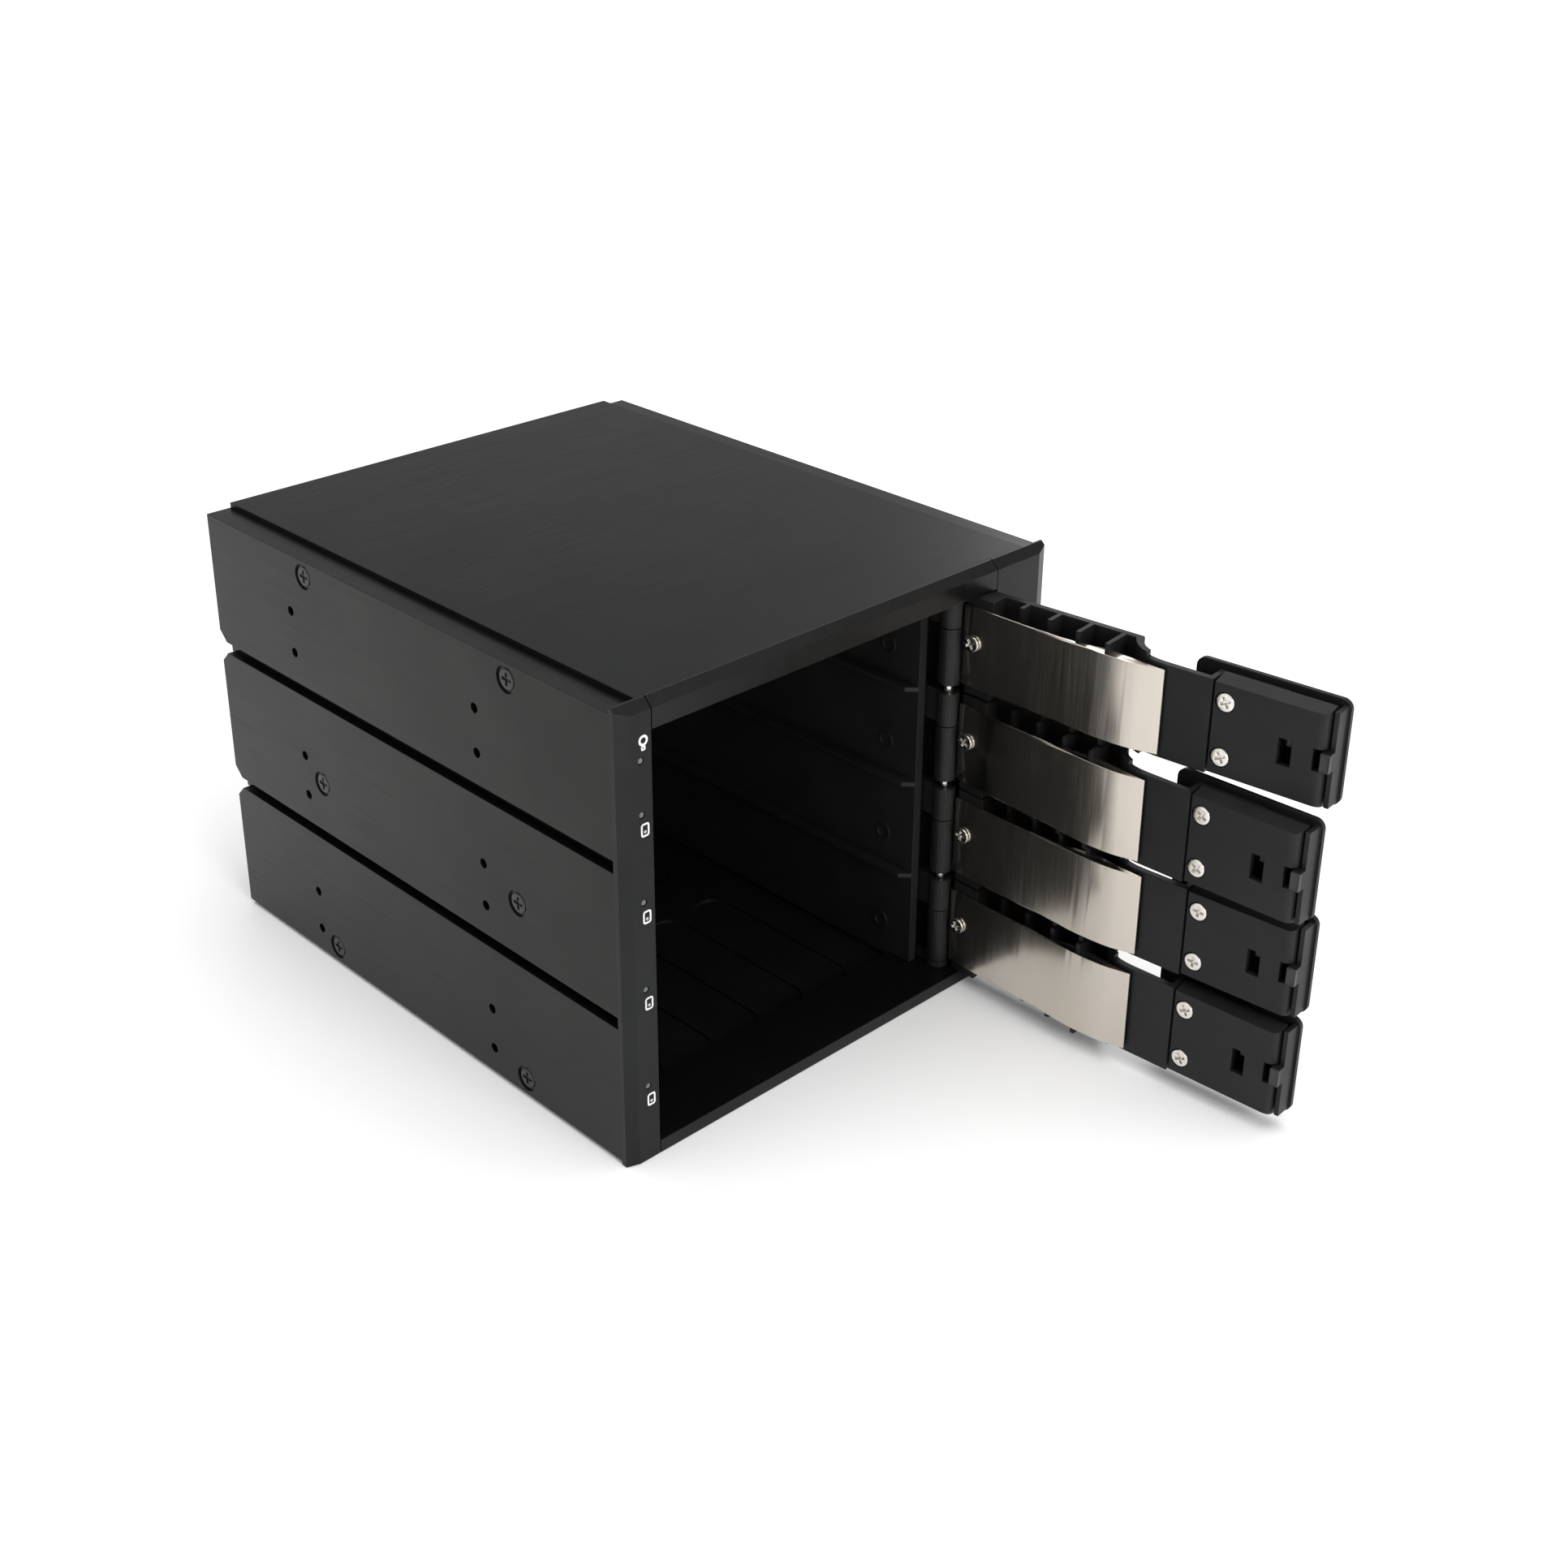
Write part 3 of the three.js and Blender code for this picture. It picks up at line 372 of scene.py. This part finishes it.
# ---------------------------------------------------------------- screws
def crossed_screw(radius, depth):
    """A countersunk head facing +Y with a cross cut into it. Its face is at the origin."""
    deselect_all()
    bpy.ops.mesh.primitive_cylinder_add(
        vertices=40,
        radius=radius,
        depth=depth,
        rotation=(-math.pi / 2, 0, 0),
        location=(0, -depth / 2, 0),
    )
    head = name_new("crossed_screw_drawn")
    settle(head)
    bevel = head.modifiers.new("edge", "BEVEL")
    bevel.width = radius * 0.09
    bevel.segments = 3
    bevel.angle_limit = math.radians(40)
    apply_all(head)
    for angle in (0, math.pi / 2):
        deselect_all()
        bpy.ops.mesh.primitive_cube_add(size=1)
        cutter = name_new("cross_cutter")
        cutter.scale = (radius * 1.25, depth * 1.6, radius * 0.3)
        cutter.rotation_euler = (0, angle, 0)
        bpy.context.view_layer.update()
        settle(cutter)
        cut = head.modifiers.new("cross", "BOOLEAN")
        cut.operation = "DIFFERENCE"
        cut.object = cutter
        apply_all(head)
        bpy.data.objects.remove(cutter)
    bpy.ops.object.shade_smooth_by_angle(angle=math.radians(20))
    use(head, PLATED)
    return head


def place_side_screws(screw):
    """The cage's own screws, sunk in their ring recesses on both sides."""
    for side, face, turn in (("left", PANEL_LOW.x, math.pi / 2), ("right", -PANEL_LOW.x, -math.pi / 2)):
        sign = -1 if side == "left" else 1
        for row, z in enumerate(SCREW_ROWS):
            for column in range(2):
                y = SCREW_FRONT_Y + column * SCREW_PITCH_Y
                place = Vector((face - sign * SCREW_RECESS * 0.4, y, z))
                matrix = Matrix.Translation(place) @ Matrix.Rotation(turn, 4, "Z")
                piece = copy_of(screw, f"side_screw_{side}_{row + 1}_{column + 1}", matrix)
                use(piece, DARK_SCREW)
                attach(piece, "cage")


def place_door_screws(bay, latch, small):
    screws = (
        (f"latch_screw_upper_{bay}", latch, LATCH_SCREW[2]),
        (f"latch_screw_lower_{bay}", latch, LATCH_SCREW[2]),
        (f"spring_plate_screw_{bay}", small, PLATE_SCREW[2]),
    )
    for name, screw, face in screws:
        low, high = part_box(name)
        middle = (low + high) / 2
        local = door_matrix(bay).inverted() @ middle
        place = Matrix.Translation((local.x, face, local.z))
        turn = Matrix.Rotation(0.5 * bay, 4, "Y")
        matrix = door_matrix(bay) @ place @ turn
        piece = copy_of(screw, f"{name}_head", matrix)
        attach(piece, f"door_{bay}")
        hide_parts(name)


# ---------------------------------------------------------------- latch hooks and flags
def rounded_block(name, low, high, round_by, material):
    """A block between two corners, shaped by an inset face and a bevel, drawn in the door's frame."""
    deselect_all()
    middle = (low + high) / 2
    bpy.ops.mesh.primitive_cube_add(size=1, location=middle)
    piece = name_new(name)
    piece.scale = high - low
    bpy.context.view_layer.update()
    settle(piece)
    bpy.ops.object.mode_set(mode="EDIT")
    bpy.ops.mesh.select_mode(type="FACE")
    mesh = bmesh.from_edit_mesh(piece.data)
    for face in mesh.faces:
        face.select = face.normal.y > 0.9
    bmesh.update_edit_mesh(piece.data)
    bpy.ops.mesh.inset(thickness=round_by)
    bpy.ops.mesh.extrude_region_move(TRANSFORM_OT_translate={"value": (0, -round_by * 0.5, 0)})
    bpy.ops.object.mode_set(mode="OBJECT")
    bevel = piece.modifiers.new("edge", "BEVEL")
    bevel.width = round_by * 0.5
    bevel.segments = 3
    bevel.angle_limit = math.radians(40)
    apply_all(piece)
    bpy.ops.object.shade_smooth_by_angle(angle=math.radians(20))
    use(piece, material)
    return piece


def place_latch_details(bay):
    for name, corners in (("latch_hook_face", HOOK_CORNERS), ("latch_flag", FLAG_CORNERS)):
        piece = rounded_block(f"{name}_{bay}", *corners, DETAIL_ROUND, HOOK)
        piece.data.transform(door_matrix(bay))
        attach(piece, f"lever_{bay}")


# ---------------------------------------------------------------- signs on the left post
def outline_mark(name, width, height, centre, wall, roundness=0.3):
    """A thin raised outline with round corners, lying on the post's face."""
    deselect_all()
    bpy.ops.mesh.primitive_plane_add(size=1, rotation=(math.pi / 2, 0, 0))
    mark = name_new(name)
    mark.scale = (width, height, 1)
    mark.location = centre
    bpy.context.view_layer.update()
    settle(mark)
    bpy.ops.object.mode_set(mode="EDIT")
    bpy.ops.mesh.select_all(action="SELECT")
    bpy.ops.mesh.bevel(offset=width * roundness * 0.98, segments=6, affect="VERTICES")
    bpy.ops.mesh.select_all(action="SELECT")
    bpy.ops.mesh.inset(thickness=wall)
    bpy.ops.mesh.delete(type="FACE")
    bpy.ops.object.mode_set(mode="OBJECT")
    thick = mark.modifiers.new("ink", "SOLIDIFY")
    thick.thickness = SIGN_PROUD
    apply_all(mark)
    use(mark, SIGN)
    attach(mark, "cage")
    return mark


def place_signs():
    face = POST_LOW.y - SIGN_PROUD / 2
    for index, share in enumerate(LIGHT_SHARES):
        lamp = share * COVER_TOP
        if index == 0:
            centre = Vector((SIGN_X, face, lamp + 4.9 * MM))
            outline_mark("power_sign_bulb", 2.7 * MM, 2.7 * MM, centre, 0.6 * MM, 0.5)
            foot = centre - Vector((0, 0, 1.9 * MM))
            outline_mark("power_sign_cap", 1.3 * MM, 1.2 * MM, foot, 0.45 * MM)
        else:
            centre = Vector((SIGN_X, face, lamp - SIGN_DROP))
            outline_mark(f"drive_sign_{index}", 2.5 * MM, 3.5 * MM, centre, 0.5 * MM)
            low = centre - Vector((0, 0, 0.5 * MM))
            outline_mark(f"drive_sign_dot_{index}", 0.7 * MM, 0.7 * MM, low, 0.2 * MM)


# ---------------------------------------------------------------- drive clips on the right wall
CLIP_Y = -63.5 * MM
CLIP_DROP = 4.4 * MM
CLIP_RADIUS = 2.6 * MM
CLIP_PROUD = 0.28 * MM


def drive_clip():
    """A low round boss with a sunk middle, facing -X, drawn at the origin."""
    deselect_all()
    bpy.ops.mesh.primitive_cylinder_add(vertices=40, radius=CLIP_RADIUS, depth=2 * CLIP_PROUD,
                                        rotation=(0, -math.pi / 2, 0))
    clip = name_new("drive_clip_drawn")
    settle(clip)
    bpy.ops.object.mode_set(mode="EDIT")
    bpy.ops.mesh.select_mode(type="FACE")
    mesh = bmesh.from_edit_mesh(clip.data)
    for face in mesh.faces:
        face.select = face.normal.x < -0.9
    bmesh.update_edit_mesh(clip.data)
    bpy.ops.mesh.inset(thickness=CLIP_RADIUS * 0.35)
    bpy.ops.mesh.extrude_region_move(TRANSFORM_OT_translate={"value": (1.2 * CLIP_PROUD, 0, 0)})
    bpy.ops.object.mode_set(mode="OBJECT")
    bevel = clip.modifiers.new("edge", "BEVEL")
    bevel.width = 0.08 * MM
    bevel.segments = 2
    bevel.angle_limit = math.radians(40)
    apply_all(clip)
    bpy.ops.object.shade_smooth_by_angle(angle=math.radians(20))
    use(clip, DOOR)
    return clip


def place_clips():
    clip = drive_clip()
    for bay in BAYS:
        low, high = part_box(f"drive_connector_{bay}")
        middle_z = (low.z + high.z) / 2 + 7 * MM
        place = Vector((WALL_LOW.x + 2.6 * MM, CLIP_Y, middle_z - CLIP_DROP))
        piece = copy_of(clip, f"drive_clip_{bay}", Matrix.Translation(place))
        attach(piece, "cage")
    bpy.data.objects.remove(clip)


# ---------------------------------------------------------------- studio
def soft_light(name, place, target, size, power):
    data = bpy.data.lights.new(name, "AREA")
    data.shape = "RECTANGLE"
    data.size, data.size_y = size
    data.energy = power
    light = bpy.data.objects.new(name, data)
    light.location = place
    light.rotation_mode = "QUATERNION"
    light.rotation_quaternion = (Vector(target) - Vector(place)).to_track_quat("-Z", "Y")
    bpy.context.scene.collection.objects.link(light)


def studio():
    deselect_all()
    bpy.ops.mesh.primitive_plane_add(size=40, location=(0, 0, cad_low.z - 0.0002))
    floor = name_new("studio_floor")
    pale = Finish("pale_floor", (0.93, 0.93, 0.93), 0.8)
    pale.vary_roughness(pale.noise(3, 2), 0.75, 0.85)
    use(floor, pale.material)
    world = bpy.data.worlds.new("studio_air")
    world.use_nodes = True
    nodes, links = world.node_tree.nodes, world.node_tree.links
    air = nodes["Background"]
    air.inputs["Color"].default_value = (1, 1, 1, 1)
    air.inputs["Strength"].default_value = 0.5
    backdrop = nodes.new("ShaderNodeBackground")
    backdrop.inputs["Color"].default_value = (1, 1, 1, 1)
    backdrop.inputs["Strength"].default_value = 1.1
    rays = nodes.new("ShaderNodeLightPath")
    either = nodes.new("ShaderNodeMixShader")
    links.new(rays.outputs["Is Camera Ray"], either.inputs["Fac"])
    links.new(air.outputs["Background"], either.inputs[1])
    links.new(backdrop.outputs["Background"], either.inputs[2])
    links.new(either.outputs["Shader"], nodes["World Output"].inputs["Surface"])
    bpy.context.scene.world = world
    sky = bpy.data.lights.new("overhead", "SUN")
    sky.energy = 2.2
    sky.angle = math.radians(80)
    bpy.context.scene.collection.objects.link(bpy.data.objects.new("overhead", sky))
    soft_light("front", (-0.15, -1.2, 0.5), (0.05, -0.1, 0.06), (0.7, 0.5), 8)
    soft_light("cover_gleam", (0.926, 0.529, 0.527), (0.085, -0.095, COVER_TOP), (0.1, 0.1), 0.4)
    bpy.context.scene.view_settings.view_transform = "Standard"


def camera():
    """Stands at the front left, a little above, and looks down at the cage."""
    azimuth, elevation, roll = math.radians(-43.69), math.radians(25.24), math.radians(0.16)
    data = bpy.data.cameras.new("studio_camera")
    data.sensor_width = 36
    data.lens = 48.82
    data.shift_x = 0.015
    data.shift_y = -0.0656
    data.dof.use_dof = False
    seat = bpy.data.objects.new("studio_camera", data)
    back = Vector((
        math.sin(azimuth) * math.cos(elevation),
        -math.cos(azimuth) * math.cos(elevation),
        math.sin(elevation),
    ))
    seat.location = (-0.3357, -0.4068, 0.3248)
    seat.rotation_mode = "QUATERNION"
    level = (-back).to_track_quat("-Z", "Y")
    seat.rotation_quaternion = level @ Matrix.Rotation(roll, 4, "Z").to_quaternion()
    bpy.context.scene.collection.objects.link(seat)
    bpy.context.scene.camera = seat


def build():
    finish_frame_nodes()
    plate = spring_plate()
    latch = crossed_screw(*LATCH_SCREW[:2])
    small = crossed_screw(*PLATE_SCREW[:2])
    side = crossed_screw(SIDE_SCREW_RADIUS, SIDE_SCREW_DEPTH)
    for bay in BAYS:
        piece = copy_of(plate, f"spring_plate_brushed_{bay}", door_matrix(bay))
        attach(piece, f"door_{bay}")
        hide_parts(f"spring_plate_{bay}")
        place_door_screws(bay, latch, small)
        place_latch_details(bay)
    place_side_screws(side)
    place_signs()
    place_clips()
    for drawn in (plate, latch, small, side):
        bpy.data.objects.remove(drawn)


build()
studio()
camera()
bpy.context.view_layer.update()
